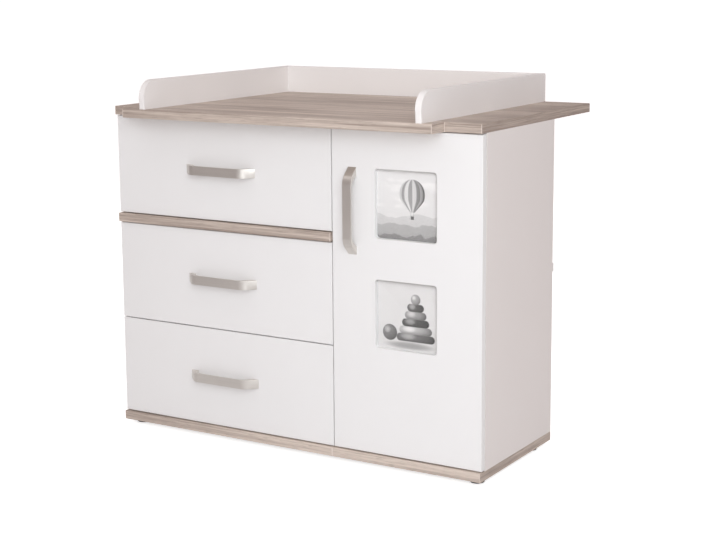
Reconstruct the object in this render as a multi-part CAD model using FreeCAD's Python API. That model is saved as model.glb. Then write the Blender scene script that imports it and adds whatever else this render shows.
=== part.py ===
import FreeCAD, Part
import math
import os

# A wide changing dresser: three drawers on roller runners on the left, one hinged
# door on the right, and a deep changing top with a low rim on three sides.
# Millimetres, +X to the viewer's right, +Y to the back, +Z up.  The origin is on the
# floor, midway between the two ends and midway between the top's front and back edges.

# Driving dimensions -----------------------------------------------------------

# Carcass
body_width = 1190.0          # bottom board and top, end to end
body_depth = 440.0           # bottom board, front edge to back edge
panel_height = 889.0         # side panels, between the bottom board and the top
board_thickness = 25.0       # wood-tone boards
panel_thickness = 16.0       # white side panels, partition, rails and shelf
rail_depth = 80.0            # rails under the top and behind the trim strip
trim_height = 25.0           # wood-tone strip between the top and middle drawers

# Changing top
plate_depth = 685.0          # set-back ends, front edge to back edge
step_depth = 65.0            # how far the middle stands further forward
step_from_left = 82.0        # set-back length at the left end
step_from_right = 108.0      # set-back length at the right end
rim_height = 82.0
rim_thickness = 18.0
rim_from_end = 140.0         # top's end to the rim's outer face
rim_setback = 3.0            # rim's front end behind the top's front edge
rim_corner_radius = 50.0     # rounded front corner of a side rim
rim_edge_bevel = 1.5
rim_screw_count = 2

# Fronts
front_thickness = 19.0
front_recess = 8.0           # fronts behind the boards' front edges
front_air = 2.0              # between a front's back and the carcass
reveal = 3.0                 # gap round each front
end_margin = 1.0             # front's outer edge inside the carcass's end
door_width = 451.5
edge_bevel = 1.0             # softened edge banding

# Feet
foot_height = 14.0
foot_radius = 21.0
sole_radius = 20.0
sole_height = 5.0
foot_stem_radius = 4.0
foot_stem_length = 12.0
foot_from_end = 33.0
foot_from_front = 48.0
foot_from_back = 68.0

# Drawer boxes and roller runners
box_side_thickness = 12.0
box_side_height = 170.0
box_depth = 350.0
box_above_front_bottom = 25.0
base_thickness = 3.0
base_above_side_bottom = 12.0
groove_depth = 5.0
base_edge_gap = 0.5
box_back_drop = 10.0         # the box's back is this much lower than its sides
runner_space = 12.5          # side panel to drawer side
runner_length = 350.0
runner_steel = 1.2
channel_height = 26.0
channel_flange = 10.3        # channel's open edge, from the side panel
channel_setback = 2.0        # channel's front end behind the side panel's front edge
slide_lip_height = 22.0      # top of the drawer profile above the drawer side's bottom
slide_lip_inner = 3.0        # drawer profile's lip, from the side panel
front_roller_radius = 9.0
rear_roller_radius = 11.0
roller_end_gap = 2.0         # roller's rim to the end of its profile
roller_gap = 0.3             # running clearance of a roller on its track
pin_radius = 2.45
running_clearance = 0.05     # roller bore round its pin

# Handles
handle_length = 236.0
handle_width = 26.0
handle_reach = 30.0          # front of the band from the front panel
handle_band = 4.0            # thickness of the band
handle_run = 31.0            # length of each sloping leg, along the handle
handle_foot = 24.0           # length of each foot on the panel
handle_inner_lean = 0.5      # slope of a leg's inner face beside its outer face
handle_hole_spacing = 208.0
handle_hole_depth = 10.0
handle_outer_bend = 40.0
handle_inner_bend = 34.0
handle_edge_bevel = 0.8
screw_radius = 1.95
screw_hole_radius = 2.1
screw_head_radius = 4.0
screw_head_height = 2.5
screw_end_gap = 1.0
door_handle_from_edge = 63.5
door_handle_height = 703.0   # middle of the door's handle above the floor

# Picture recesses in the door
picture_size = 186.0
picture_corner_radius = 9.0
picture_recess = 16.0
picture_heights = (430.0, 727.0)
card_thickness = 0.8
pane_thickness = 2.2
pane_clearance = 0.3

# Concealed hinges of the door
hinge_from_end = 100.0       # hinge's middle from the door's top and bottom
hinge_axis_from_edge = 5.0   # turning axis inside the door's hinged edge
hinge_axis_behind_front = 8.0
cup_radius = 17.5
cup_depth = 12.5
cup_from_edge = 21.5
cup_clearance = 0.1
cup_wall = 1.0
cup_flange_height = 52.0
cup_flange_width = 30.0
cup_flange_thickness = 1.2
hinge_inner_radius = 20.5    # band of the nested arms, from the turning axis
hinge_outer_radius = 26.0
arm_angles = (125.0, 168.0)
link_angles = (123.0, 178.0)
ear_angles = (146.0, 184.0)
arm_layer = (7.5, 9.0)       # distance of each nested plate from the hinge's middle
link_layer = (5.2, 6.7)
ear_layer = (3.0, 4.5)
link_pin_angle = 129.0
link_pin_radius = 2.0
arm_roof_from_panel = 14.0
arm_steel = 1.5
arm_length = 56.0
arm_front_from_panel_front = 6.0
plate_base_thickness = 2.5
plate_base_height = 32.0
plate_length = 34.0
plate_from_panel_front = 20.0
plate_rib_height = 9.5
plate_rib_width = 11.0
bumper_radius = 3.0
bumper_gap = 0.3
bumper_from_end = 30.0

# Shelf behind the door
shelf_height = 470.0         # underside above the floor
shelf_side_gap = 1.0
shelf_front_gap = 11.0
shelf_back_gap = 8.0
shelf_pin_radius = 2.45
shelf_pin_depth = 8.0
shelf_pin_reach = 8.0
shelf_pin_from_edge = 45.0
shelf_pin_pad = (12.0, 2.0)  # length and thickness of the pad under the shelf

# Back and its fixings
back_thickness = 3.0
back_side_margin = 4.0
back_end_margin = 2.0
joiner_height = 513.0
joiner_skin = 1.2
joiner_web = 1.6
joiner_half_height = 9.0
clip_width = 24.0
clip_half_height = 12.0
clip_thickness = 4.0

# Fasteners of the carcass
stud_sides = 8              # small round pins, screws and holes have flat sides
cam_radius = 7.4
cam_depth = 12.5
cam_from_end = 34.0
rim_screw_radius = 2.0
rim_screw_depth = 30.0
rim_screw_head_radius = 4.0
rim_screw_head_height = 3.0
fastener_clearance = 0.1

# Planes worked out from the driving dimensions -----------------------------------

left = -body_width / 2
right = body_width / 2
top_back = (plate_depth + step_depth) / 2
top_front = -top_back
front = top_front + step_depth
back = front + body_depth
front_face = front + front_recess
front_back = front_face + front_thickness
panel_front = front_back + front_air

floor_top = foot_height + board_thickness
panel_top = floor_top + panel_height
plate_top = panel_top + board_thickness
rim_top = plate_top + rim_height

door_right = right - end_margin
door_left = door_right - door_width
drawer_left = left + end_margin
drawer_right = door_left - reveal
partition_left = door_left - reveal / 2 - panel_thickness / 2
partition_right = partition_left + panel_thickness
bay_left = left + panel_thickness
bay_middle = (bay_left + partition_left) / 2
side_inner = right - panel_thickness

fronts_bottom = floor_top + reveal
fronts_top = panel_top - reveal
drawer_height = (fronts_top - fronts_bottom - trim_height - 3 * reveal) / 3
middle_drawer_bottom = fronts_bottom + drawer_height + reveal
trim_bottom = middle_drawer_bottom + drawer_height + reveal
top_drawer_bottom = trim_bottom + trim_height + reveal
drawer_bottoms = {
    "drawer_bottom": fronts_bottom,
    "drawer_middle": middle_drawer_bottom,
    "drawer_top": top_drawer_bottom,
}

axis_x = door_right - hinge_axis_from_edge
axis_y = front_face + hinge_axis_behind_front
hinge_heights = (fronts_bottom + hinge_from_end, fronts_top - hinge_from_end)


# Small makers ---------------------------------------------------------------

def vec(x, y, z):
    return FreeCAD.Vector(x, y, z)


def block(x0, x1, y0, y1, z0, z1):
    return Part.makeBox(x1 - x0, y1 - y0, z1 - z0, vec(x0, y0, z0))


def rod(radius, start, end):
    run = end - start
    return Part.makeCylinder(radius, run.Length, start, run)


def stud(radius, start, end):
    """A small pin or hole, drawn with stud_sides flat sides inside its circle."""
    run = end - start
    turn = FreeCAD.Rotation(vec(0, 0, 1), run)
    corners = []
    for i in range(stud_sides + 1):
        angle = 2 * math.pi * i / stud_sides
        corner = vec(radius * math.cos(angle), radius * math.sin(angle), 0)
        corners.append(start + turn.multVec(corner))
    return Part.Face(Part.makePolygon(corners)).extrude(run)


def roller(radius, start, end):
    """A roller whose bore stays clear of its pin at every angle."""
    bore_radius = (pin_radius + running_clearance) / math.cos(math.pi / stud_sides)
    return rod(radius, start, end).cut(stud(bore_radius, start, end))


def fuse(shapes):
    joined = shapes[0]
    for shape in shapes[1:]:
        joined = joined.fuse(shape)
    return joined.removeSplitter()


def edges_where(shape, wanted):
    """The edges whose two ends and middle all pass the test."""
    edges = []
    for edge in shape.Edges:
        first, last = edge.ParameterRange
        points = [edge.valueAt(t) for t in (first, (first + last) / 2, last)]
        if all(wanted(point) for point in points):
            edges.append(edge)
    return edges


def bevel(shape, size, wanted):
    return shape.makeChamfer(size, edges_where(shape, wanted))


def rounded(shape, radius, wanted):
    return shape.makeFillet(radius, edges_where(shape, wanted))


def at(value, target):
    return abs(value - target) < 1e-4


def mirrored(shape, x):
    return shape.mirror(vec(x, 0, 0), vec(1, 0, 0))


def rounded_plate(x, z, size, corner, y0, y1):
    """A square plate across Y with rounded corners, centred on x and z."""
    half = size / 2
    plate = block(x - half, x + half, y0, y1, z - half, z + half)
    corners = [e for e in plate.Edges if not at(e.Vertexes[0].Y, e.Vertexes[1].Y)]
    return plate.makeFillet(corner, corners)


def save(node, shapes):
    os.makedirs("parts", exist_ok=True)
    Part.makeCompound(shapes).exportStep("parts/" + node + ".step")


# Carcass ----------------------------------------------------------------------

def foot_places():
    front_row = front + foot_from_front
    back_row = back - foot_from_back
    return [(x, y) for x in (left + foot_from_end, right - foot_from_end)
            for y in (front_row, back_row)]


def make_feet():
    bodies = []
    soles = []
    for x, y in foot_places():
        body = Part.makeCone(sole_radius, foot_radius, foot_height - sole_height,
                             vec(x, y, sole_height))
        stem = stud(foot_stem_radius, vec(x, y, foot_height),
                    vec(x, y, foot_height + foot_stem_length))
        bodies.append(body.fuse(stem))
        soles.append(rod(sole_radius, vec(x, y, 0), vec(x, y, sole_height)))
    save("foot_bodies", bodies)
    save("foot_soles", soles)


def make_bottom_board():
    board = block(left, right, front, back, foot_height, floor_top)
    board = bevel(board, edge_bevel, lambda p: at(p.y, front))
    for x, y in foot_places():
        hole = stud(foot_stem_radius + fastener_clearance, vec(x, y, foot_height),
                    vec(x, y, foot_height + foot_stem_length + fastener_clearance))
        board = board.cut(hole)
    save("bottom_board", [board])


def shelf_pin_places():
    """Each pin's wall, its direction into the compartment and its distance back."""
    shelf_front = panel_front + shelf_front_gap
    shelf_back = back - shelf_back_gap
    rows = (shelf_front + shelf_pin_from_edge, shelf_back - shelf_pin_from_edge)
    return [(wall, way, y) for wall, way in ((partition_right, 1), (side_inner, -1))
            for y in rows]


def shelf_pin_height():
    return shelf_height - shelf_pin_pad[1] - shelf_pin_radius


def shelf_pin_hole(wall, way, y):
    z = shelf_pin_height()
    end = wall - way * (shelf_pin_depth + fastener_clearance)
    return stud(shelf_pin_radius + fastener_clearance, vec(end, y, z), vec(wall, y, z))


def make_side_panels():
    panel = block(left, bay_left, panel_front, back, floor_top, panel_top)
    save("side_panel_left", [panel])
    panel = block(side_inner, right, panel_front, back, floor_top, panel_top)
    for wall, way, y in shelf_pin_places():
        if way < 0:
            panel = panel.cut(shelf_pin_hole(wall, way, y))
    save("side_panel_right", [panel])
    partition = block(partition_left, partition_right, panel_front, back,
                      floor_top, panel_top)
    for wall, way, y in shelf_pin_places():
        if way > 0:
            partition = partition.cut(shelf_pin_hole(wall, way, y))
    save("partition", [partition])


def rail_with_cams(x0, x1, y0, z0):
    """A flat rail and the two cam discs in its underside."""
    rail = block(x0, x1, y0, y0 + rail_depth, z0, z0 + panel_thickness)
    cams = []
    for x in (x0 + cam_from_end, x1 - cam_from_end):
        y = y0 + rail_depth / 2
        mouth = vec(x, y, z0)
        end = vec(x, y, z0 + cam_depth)
        rail = rail.cut(stud(cam_radius + fastener_clearance, mouth, end))
        cams.append(stud(cam_radius, mouth, end))
    return rail, cams


def make_rails():
    rail_bottom = panel_top - panel_thickness
    top_rails = []
    cams = []
    for x0, x1 in ((bay_left, partition_left), (partition_right, side_inner)):
        for y0 in (panel_front, back - rail_depth):
            rail, rail_cams = rail_with_cams(x0, x1, y0, rail_bottom)
            top_rails.append(rail)
            cams += rail_cams
    save("top_rails", top_rails)

    mid_bottom = trim_bottom + (trim_height - panel_thickness) / 2
    rail, rail_cams = rail_with_cams(bay_left, partition_left, panel_front, mid_bottom)
    save("mid_rail", [rail])
    save("cam_fittings", cams + rail_cams)

    strip = block(left, drawer_right, front, panel_front,
                  trim_bottom, trim_bottom + trim_height)
    save("trim_strip", [bevel(strip, edge_bevel, lambda p: at(p.y, front))])


def make_shelf():
    shelf = block(partition_right + shelf_side_gap, side_inner - shelf_side_gap,
                  panel_front + shelf_front_gap, back - shelf_back_gap,
                  shelf_height, shelf_height + panel_thickness)
    save("shelf", [shelf])
    pins = []
    z = shelf_pin_height()
    pad_length, pad_thickness = shelf_pin_pad
    for wall, way, y in shelf_pin_places():
        shaft = stud(shelf_pin_radius, vec(wall - way * shelf_pin_depth, y, z),
                     vec(wall + way * shelf_pin_reach, y, z))
        ends = sorted((wall, wall + way * shelf_pin_reach))
        pad = block(ends[0], ends[1], y - pad_length / 2, y + pad_length / 2,
                    shelf_height - pad_thickness - fastener_clearance, shelf_height)
        pins.append(shaft.fuse(pad))
    save("shelf_pins", pins)


def make_back():
    x0 = left + back_side_margin
    x1 = right - back_side_margin
    z0 = foot_height + back_end_margin
    z1 = panel_top - back_end_margin
    half_web = joiner_web / 2
    behind = back + back_thickness
    save("back_panel_lower", [block(x0, x1, back, behind, z0, joiner_height - half_web)])
    save("back_panel_upper", [block(x0, x1, back, behind, joiner_height + half_web, z1)])

    low = joiner_height - joiner_half_height
    high = joiner_height + joiner_half_height
    pieces = [
        block(x0, x1, back, behind, joiner_height - half_web, joiner_height + half_web),
        block(x0, x1, behind, behind + joiner_skin, low, high),
        block(bay_left, partition_left, back - joiner_skin, back, low, high),
        block(partition_right, side_inner, back - joiner_skin, back, low, high),
    ]
    save("back_joiner", [fuse(pieces)])

    skin = behind + joiner_skin
    low = joiner_height - clip_half_height
    high = joiner_height + clip_half_height
    clip = fuse([
        block(right - clip_width, right, skin, skin + clip_thickness, low, high),
        block(x1, right, back, skin, low, high),
    ])
    clip = bevel(clip, edge_bevel, lambda p: at(p.y, skin + clip_thickness))
    save("back_clips", [clip, mirrored(clip, 0)])


# Changing top -----------------------------------------------------------------

rim_left_outer = left + rim_from_end
rim_left_inner = rim_left_outer + rim_thickness
rim_right_outer = right - rim_from_end
rim_right_inner = rim_right_outer - rim_thickness
rim_front = top_front + rim_setback


def rim_screw_places():
    """Screw positions from below, spread evenly along each of the three rims."""
    places = []
    steps = [(i + 0.5) / rim_screw_count for i in range(rim_screw_count)]
    for share in steps:
        y = rim_front + share * (top_back - rim_front)
        places.append((rim_left_outer + rim_thickness / 2, y))
        places.append((rim_right_outer - rim_thickness / 2, y))
        x = rim_left_inner + share * (rim_right_inner - rim_left_inner)
        places.append((x, top_back - rim_thickness / 2))
    return places


def rim_screw_holes(shape):
    for x, y in rim_screw_places():
        bore = stud(rim_screw_radius + fastener_clearance, vec(x, y, panel_top),
                    vec(x, y, plate_top + rim_screw_depth + fastener_clearance))
        sink = stud(rim_screw_head_radius + fastener_clearance, vec(x, y, panel_top),
                    vec(x, y, panel_top + rim_screw_head_height))
        shape = shape.cut(bore).cut(sink)
    return shape


def make_top_plate():
    left_step = left + step_from_left
    right_step = right - step_from_right
    corners = [
        (left, front), (left_step, front), (left_step, top_front),
        (right_step, top_front), (right_step, front), (right, front),
        (right, top_back), (left, top_back), (left, front),
    ]
    outline = Part.makePolygon([vec(x, y, panel_top) for x, y in corners])
    plate = Part.Face(outline).extrude(vec(0, 0, board_thickness))
    plate = bevel(plate, edge_bevel, lambda p: at(p.z, plate_top))
    save("top_plate", [rim_screw_holes(plate)])


def side_rim(x0):
    rim = block(x0, x0 + rim_thickness, rim_front, top_back, plate_top, rim_top)
    rim = rounded(rim, rim_corner_radius,
                  lambda p: at(p.y, rim_front) and at(p.z, rim_top))

    def on_outline(edge):
        middle = edge.valueAt(sum(edge.ParameterRange) / 2)
        on_side = at(middle.x, x0) or at(middle.x, x0 + rim_thickness)
        return on_side and not at(middle.z, plate_top) and not at(middle.y, top_back)

    outline = [edge for edge in rim.Edges if on_outline(edge)]
    return rim_screw_holes(rim.makeChamfer(rim_edge_bevel, outline))


def make_rims():
    save("rim_left", [side_rim(rim_left_outer)])
    save("rim_right", [side_rim(rim_right_inner)])
    rim = block(rim_left_inner, rim_right_inner, top_back - rim_thickness, top_back,
                plate_top, rim_top)
    rim = bevel(rim, rim_edge_bevel,
                lambda p: at(p.z, rim_top) and (at(p.y, top_back)
                                                or at(p.y, top_back - rim_thickness)))
    save("rim_back", [rim_screw_holes(rim)])
    screws = []
    for x, y in rim_screw_places():
        shank = stud(rim_screw_radius, vec(x, y, panel_top),
                     vec(x, y, plate_top + rim_screw_depth))
        head = stud(rim_screw_head_radius, vec(x, y, panel_top),
                    vec(x, y, panel_top + rim_screw_head_height))
        screws.append(shank.fuse(head))
    save("rim_screws", screws)


# Handles ------------------------------------------------------------------------

def handle_solid():
    """A bow handle along X, centred on the origin, with its feet on the plane y = 0."""
    half = handle_length / 2
    inner_reach = handle_reach - handle_band
    inner_end = half - handle_foot
    inner_run = handle_inner_lean * inner_reach * handle_run / handle_reach
    outline = Part.makePolygon([
        vec(-half, 0, 0),
        vec(-half + handle_run, -handle_reach, 0),
        vec(half - handle_run, -handle_reach, 0),
        vec(half, 0, 0),
        vec(inner_end, 0, 0),
        vec(inner_end - inner_run, -inner_reach, 0),
        vec(-inner_end + inner_run, -inner_reach, 0),
        vec(-inner_end, 0, 0),
        vec(-half, 0, 0),
    ])
    solid = Part.Face(outline).extrude(vec(0, 0, handle_width))
    solid = rounded(solid, handle_outer_bend, lambda p: at(p.y, -handle_reach)
                    and at(abs(p.x), half - handle_run))
    solid = rounded(solid, handle_inner_bend, lambda p: at(p.y, -inner_reach)
                    and at(abs(p.x), inner_end - inner_run))

    def on_band_edge(edge):
        middle = edge.valueAt(sum(edge.ParameterRange) / 2)
        return (at(middle.z, 0) or at(middle.z, handle_width)) and not at(middle.y, 0)

    band_edges = [edge for edge in solid.Edges if on_band_edge(edge)]
    solid = solid.makeChamfer(handle_edge_bevel, band_edges)
    solid.translate(vec(0, 0, -handle_width / 2))
    for x in (-handle_hole_spacing / 2, handle_hole_spacing / 2):
        solid = solid.cut(stud(screw_hole_radius, vec(x, 0, 0),
                               vec(x, -handle_hole_depth, 0)))
    return solid


def handle_set(x, z, upright):
    """A handle on the front face and its two screws from behind."""
    handle = handle_solid()
    length = front_thickness + handle_hole_depth - screw_end_gap
    screws = []
    for along in (-handle_hole_spacing / 2, handle_hole_spacing / 2):
        head = stud(screw_head_radius, vec(along, front_thickness, 0),
                    vec(along, front_thickness + screw_head_height, 0))
        shank = stud(screw_radius, vec(along, front_thickness - length, 0),
                     vec(along, front_thickness, 0))
        screws.append(head.fuse(shank))
    for shape in [handle] + screws:
        if upright:
            shape.rotate(vec(0, 0, 0), vec(0, 1, 0), 90)
        shape.translate(vec(x, front_face, z))
    return handle, screws


def drill_for_handle(panel, x, z, upright):
    for along in (-handle_hole_spacing / 2, handle_hole_spacing / 2):
        hole_x = x if upright else x + along
        hole_z = z + along if upright else z
        panel = panel.cut(stud(screw_hole_radius, vec(hole_x, front_face, hole_z),
                               vec(hole_x, front_back, hole_z)))
    return panel


# Drawers -------------------------------------------------------------------------

box_left = bay_left + runner_space
box_right = partition_left - runner_space
box_back = front_back + box_depth
slide_front = front_back
slide_back = slide_front + runner_length
rear_roller_y = slide_back - rear_roller_radius - roller_end_gap
channel_front = panel_front + channel_setback
channel_back = channel_front + runner_length
front_roller_y = channel_front + front_roller_radius + roller_end_gap
roller_inner = channel_flange - roller_gap


def runner_heights(side_bottom):
    """Axis heights of the cabinet's front roller and the drawer's rear roller."""
    lip_underside = side_bottom + slide_lip_height - runner_steel
    front_axis = lip_underside - roller_gap - front_roller_radius
    rear_axis = side_bottom + runner_steel + roller_gap + rear_roller_radius
    return front_axis, rear_axis


def cabinet_channel(side_bottom):
    """Left cabinet profile: an open channel with the pin of its front roller."""
    z0 = side_bottom
    z1 = side_bottom + channel_height
    flange_front = front_roller_y + front_roller_radius + roller_end_gap
    front_axis, _ = runner_heights(side_bottom)
    return fuse([
        block(bay_left, bay_left + runner_steel, channel_front, channel_back, z0, z1),
        block(bay_left, bay_left + channel_flange, flange_front, channel_back,
              z0, z0 + runner_steel),
        block(bay_left, bay_left + channel_flange, flange_front, channel_back,
              z1 - runner_steel, z1),
        stud(pin_radius, vec(bay_left, front_roller_y, front_axis),
             vec(bay_left + roller_inner, front_roller_y, front_axis)),
    ])


def drawer_profile(side_bottom):
    """Left drawer profile under the drawer's side, with the pin of its rear roller."""
    web = box_left - runner_steel
    lip_top = side_bottom + slide_lip_height
    lip_back = rear_roller_y - rear_roller_radius - roller_end_gap
    _, rear_axis = runner_heights(side_bottom)
    return fuse([
        block(web, box_left, slide_front, slide_back, side_bottom - runner_steel, lip_top),
        block(web, box_left + box_side_thickness, slide_front, slide_back,
              side_bottom - runner_steel, side_bottom),
        block(bay_left + slide_lip_inner, box_left, slide_front, lip_back,
              lip_top - runner_steel, lip_top),
        stud(pin_radius, vec(bay_left + slide_lip_inner, rear_roller_y, rear_axis),
             vec(box_left, rear_roller_y, rear_axis)),
    ])


def make_runners():
    channels = []
    for drawer, bottom in drawer_bottoms.items():
        side_bottom = bottom + box_above_front_bottom
        front_axis, rear_axis = runner_heights(side_bottom)
        channel = cabinet_channel(side_bottom)
        channels += [channel, mirrored(channel, bay_middle)]

        profile = drawer_profile(side_bottom)
        save(drawer + "_runners", [profile, mirrored(profile, bay_middle)])

        turning = roller(front_roller_radius,
                         vec(bay_left + runner_steel + roller_gap, front_roller_y, front_axis),
                         vec(bay_left + roller_inner, front_roller_y, front_axis))
        save(drawer + "_front_rollers", [turning, mirrored(turning, bay_middle)])

        turning = roller(rear_roller_radius,
                         vec(bay_left + slide_lip_inner, rear_roller_y, rear_axis),
                         vec(box_left - runner_steel - roller_gap, rear_roller_y, rear_axis))
        save(drawer + "_rear_rollers", [turning, mirrored(turning, bay_middle)])
    save("cabinet_runners", channels)


def make_drawer(drawer, bottom):
    top = bottom + drawer_height
    side_bottom = bottom + box_above_front_bottom
    side_top = side_bottom + box_side_height
    base_bottom = side_bottom + base_above_side_bottom
    base_top = base_bottom + base_thickness
    inner_left = box_left + box_side_thickness
    inner_right = box_right - box_side_thickness

    groove = block(inner_left - groove_depth, inner_right + groove_depth,
                   front_back - groove_depth, box_back, base_bottom, base_top)
    base = block(inner_left - groove_depth + base_edge_gap,
                 inner_right + groove_depth - base_edge_gap,
                 front_back - groove_depth + base_edge_gap, box_back,
                 base_bottom, base_top)
    save(drawer + "_base", [base])

    side = block(box_left, inner_left, front_back, box_back, side_bottom, side_top)
    side = side.cut(groove)
    save(drawer + "_sides", [side, mirrored(side, bay_middle)])
    save(drawer + "_back", [block(inner_left, inner_right, box_back - box_side_thickness,
                                  box_back, base_top, side_top - box_back_drop)])

    handle_x = (drawer_left + drawer_right) / 2
    handle_z = (bottom + top) / 2
    panel = block(drawer_left, drawer_right, front_face, front_back, bottom, top)
    panel = bevel(panel, edge_bevel, lambda p: at(p.y, front_face))
    panel = drill_for_handle(panel.cut(groove), handle_x, handle_z, False)
    save(drawer + "_front", [panel])
    handle, screws = handle_set(handle_x, handle_z, False)
    save(drawer + "_handle", [handle])
    save(drawer + "_handle_screws", screws)


# Door -----------------------------------------------------------------------------

def arc_plate(angles, z0, z1):
    """A flat curved arm round the door's turning axis, seen from above."""
    start, end = angles
    plate = Part.makeCylinder(hinge_outer_radius, z1 - z0, vec(0, 0, z0),
                              vec(0, 0, 1), end - start)
    plate = plate.cut(rod(hinge_inner_radius, vec(0, 0, z0), vec(0, 0, z1)))
    plate.rotate(vec(0, 0, 0), vec(0, 0, 1), start)
    plate.translate(vec(axis_x, axis_y, 0))
    return plate


def arc_pair(angles, layer, z):
    near, far = layer
    return [arc_plate(angles, z - far, z - near), arc_plate(angles, z + near, z + far)]


def hinge_cup(z):
    cup_x = door_right - cup_from_edge
    floor_y = front_back - cup_depth
    cup = rod(cup_radius, vec(cup_x, floor_y, z), vec(cup_x, front_back, z))
    hollow = rod(cup_radius - cup_wall, vec(cup_x, floor_y + cup_wall, z),
                 vec(cup_x, front_back + cup_flange_thickness, z))
    flange = block(cup_x - cup_flange_width / 2, cup_x + cup_radius - cup_wall,
                   front_back, front_back + cup_flange_thickness,
                   z - cup_flange_height / 2, z + cup_flange_height / 2)
    keep = block(cup_x - cup_radius, cup_x + cup_radius, floor_y + cup_wall / 2, back,
                 z - cup_radius, z + cup_radius)
    ears = [ear.common(keep) for ear in arc_pair(ear_angles, ear_layer, z)]
    return fuse([cup.fuse(flange).cut(hollow)] + ears)


def hinge_arm(z):
    near, far = arm_layer
    arm_front = panel_front + arm_front_from_panel_front
    arm_back = arm_front + arm_length
    roof = side_inner - arm_roof_from_panel
    cheek_foot = side_inner - plate_base_thickness
    pieces = arc_pair(arm_angles, arm_layer, z)
    pieces.append(block(roof, roof + arm_steel, arm_front, arm_back, z - far, z + far))
    for z0, z1 in ((z - far, z - near), (z + near, z + far)):
        pieces.append(block(roof, cheek_foot, arm_front, arm_back, z0, z1))
    return fuse(pieces)


def hinge_link(z):
    near, far = link_layer
    middle = (hinge_inner_radius + hinge_outer_radius) / 2
    angle = math.radians(link_pin_angle)
    x = axis_x + middle * math.cos(angle)
    y = axis_y + middle * math.sin(angle)
    pin = stud(link_pin_radius, vec(x, y, z - far), vec(x, y, z + far))
    return fuse(arc_pair(link_angles, link_layer, z) + [pin])


def hinge_plate(z):
    y0 = panel_front + plate_from_panel_front
    y1 = y0 + plate_length
    base = block(side_inner - plate_base_thickness, side_inner, y0, y1,
                 z - plate_base_height / 2, z + plate_base_height / 2)
    rib = block(side_inner - plate_base_thickness - plate_rib_height, side_inner, y0, y1,
                z - plate_rib_width / 2, z + plate_rib_width / 2)
    return base.fuse(rib).removeSplitter()


def make_hinges():
    save("hinge_cups", [hinge_cup(z) for z in hinge_heights])
    save("hinge_arms", [hinge_arm(z) for z in hinge_heights])
    save("hinge_links", [hinge_link(z) for z in hinge_heights])
    save("hinge_plates", [hinge_plate(z) for z in hinge_heights])


def make_door():
    door = block(door_left, door_right, front_face, front_back, fronts_bottom, fronts_top)
    picture_x = (door_left + door_right) / 2
    floor_y = front_face + picture_recess
    cards = []
    panes = []
    for z in picture_heights:
        door = door.cut(rounded_plate(picture_x, z, picture_size, picture_corner_radius,
                                      front_face, floor_y))
        fit = picture_size - 2 * pane_clearance
        card_front = floor_y - card_thickness
        cards.append(rounded_plate(picture_x, z, fit, picture_corner_radius,
                                   card_front, floor_y))
        panes.append(rounded_plate(picture_x, z, fit, picture_corner_radius,
                                   card_front - pane_thickness, card_front))
    door = bevel(door, edge_bevel, lambda p: at(p.y, front_face))
    for z in hinge_heights:
        cup_x = door_right - cup_from_edge
        door = door.cut(rod(cup_radius + cup_clearance,
                            vec(cup_x, front_back - cup_depth, z),
                            vec(cup_x, front_back, z)))
    handle_x = door_left + door_handle_from_edge
    door = drill_for_handle(door, handle_x, door_handle_height, True)
    save("door_panel", [door])
    save("door_pictures", cards)
    save("door_panes", panes)
    handle, screws = handle_set(handle_x, door_handle_height, True)
    save("door_handle", [handle])
    save("door_handle_screws", screws)

    bumper_x = partition_right - bumper_radius
    bumpers = [stud(bumper_radius, vec(bumper_x, front_back + bumper_gap, z),
                    vec(bumper_x, panel_front, z))
               for z in (fronts_bottom + bumper_from_end, fronts_top - bumper_from_end)]
    save("door_bumpers", bumpers)


make_feet()
make_bottom_board()
make_side_panels()
make_rails()
make_shelf()
make_back()
make_top_plate()
make_rims()
make_runners()
for drawer_name, front_bottom in drawer_bottoms.items():
    make_drawer(drawer_name, front_bottom)
make_hinges()
make_door()
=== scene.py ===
import math

import bmesh
import bpy
from mathutils import Matrix, Vector


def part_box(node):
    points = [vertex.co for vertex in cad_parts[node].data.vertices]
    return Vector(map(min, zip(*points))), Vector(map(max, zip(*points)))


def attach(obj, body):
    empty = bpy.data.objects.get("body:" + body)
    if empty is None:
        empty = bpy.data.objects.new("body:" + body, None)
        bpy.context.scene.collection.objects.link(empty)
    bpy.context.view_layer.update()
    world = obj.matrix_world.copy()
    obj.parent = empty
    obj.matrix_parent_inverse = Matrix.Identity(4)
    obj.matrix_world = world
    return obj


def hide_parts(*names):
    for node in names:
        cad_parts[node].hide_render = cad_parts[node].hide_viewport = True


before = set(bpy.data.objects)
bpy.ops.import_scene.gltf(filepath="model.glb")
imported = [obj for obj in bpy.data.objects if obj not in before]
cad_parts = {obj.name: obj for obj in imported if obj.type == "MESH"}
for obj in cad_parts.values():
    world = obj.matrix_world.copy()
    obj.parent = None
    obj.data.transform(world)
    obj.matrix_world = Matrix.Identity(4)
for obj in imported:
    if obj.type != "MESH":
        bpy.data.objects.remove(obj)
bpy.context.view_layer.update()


# Studio -------------------------------------------------------------------------------
# A plain pale floor under a pale sky, one broad soft light beside the camera, one above
# the front that shades what lies under the top, and weaker ones around it.

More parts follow.
